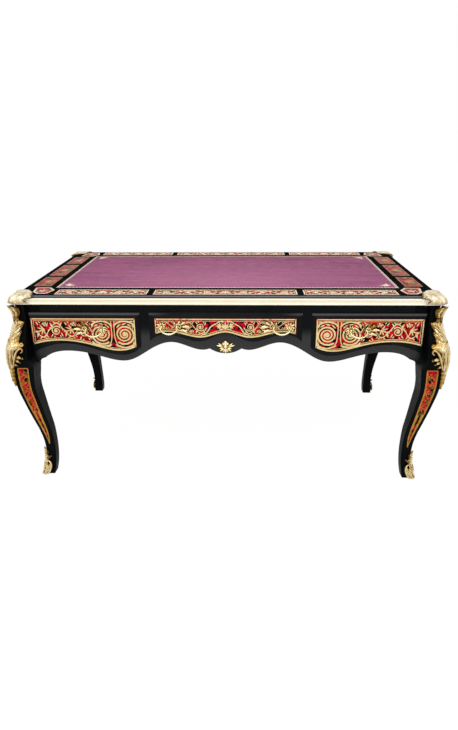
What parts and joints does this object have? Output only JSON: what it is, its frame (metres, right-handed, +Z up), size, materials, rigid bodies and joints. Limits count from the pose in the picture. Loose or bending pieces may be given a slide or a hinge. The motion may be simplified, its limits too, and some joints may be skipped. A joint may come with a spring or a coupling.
{
  "type": "writing table",
  "caption": "Flat-topped writing table with curved legs, frieze drawers, an inset leather top, brass and shell marquetry and gilt mounts.",
  "frame": {"origin": "on the floor, under the middle of the table", "axes": "+X to the right along the long side, -Y to the front where the drawers open, +Z up"},
  "size_m": [1.7224, 0.9184, 0.806],
  "materials": {
    "lacquer": "black polished lacquer on hardwood",
    "oak": "waxed oak of the drawer boxes and inner boards",
    "leather": "plum leather with gold tooled border",
    "brass": "polished brass moulding",
    "gilt": "gilt bronze casting with burnished highs",
    "marquetry": "engraved brass scrolls in red shell",
    "steel": "plain steel screws and bolts"
  },
  "bodies": {
    "frame": {"apron_shells": "gilt", "back_apron": "lacquer", "back_sham_fronts": "lacquer", "brass_edge_back": "brass", "brass_edge_front": "brass", "brass_edge_left": "brass", "brass_edge_right": "brass", "case_marquetry": "marquetry", "corner_mount_back_left": "gilt", "corner_mount_back_right": "gilt", "corner_mount_front_left": "gilt", "corner_mount_front_right": "gilt", "drawer_dividers": "oak", "drawer_kickers": "oak", "drawer_runners": "oak", "end_apron_left": "lacquer", "end_apron_right": "lacquer", "end_panels": "lacquer", "front_apron": "lacquer", "front_stiles": "lacquer", "front_top_rail": "lacquer", "knee_mount_back_left": "gilt", "knee_mount_back_right": "gilt", "knee_mount_front_left": "gilt", "knee_mount_front_right": "gilt", "leather_inset": "leather", "leg_back_left": "lacquer", "leg_back_right": "lacquer", "leg_front_left": "lacquer", "leg_front_right": "lacquer", "leg_marquetry": "marquetry", "shoe_back_left": "gilt", "shoe_back_right": "gilt", "shoe_front_left": "gilt", "shoe_front_right": "gilt", "top_board": "lacquer", "top_fixing_blocks": "oak", "top_fixing_screws": "steel", "top_marquetry": "marquetry"},
    "drawer_left": {"drawer_left_back": "oak", "drawer_left_bottom": "oak", "drawer_left_front": "lacquer", "drawer_left_marquetry": "marquetry", "drawer_left_pull": "gilt", "drawer_left_pull_bolts": "steel", "drawer_left_sides": "oak"},
    "drawer_centre": {"drawer_centre_back": "oak", "drawer_centre_bottom": "oak", "drawer_centre_front": "lacquer", "drawer_centre_marquetry": "marquetry", "drawer_centre_pull": "gilt", "drawer_centre_pull_bolts": "steel", "drawer_centre_sides": "oak"},
    "drawer_right": {"drawer_right_back": "oak", "drawer_right_bottom": "oak", "drawer_right_front": "lacquer", "drawer_right_marquetry": "marquetry", "drawer_right_pull": "gilt", "drawer_right_pull_bolts": "steel", "drawer_right_sides": "oak"}
  },
  "joints": [
    {"name": "left_drawer_slide", "type": "slide", "parent": "frame", "child": "drawer_left", "axis": [0, -1, 0], "range_m": [0, 0.4]},
    {"name": "centre_drawer_slide", "type": "slide", "parent": "frame", "child": "drawer_centre", "axis": [0, -1, 0], "range_m": [0, 0.4]},
    {"name": "right_drawer_slide", "type": "slide", "parent": "frame", "child": "drawer_right", "axis": [0, -1, 0], "range_m": [0, 0.4]}
  ]
}
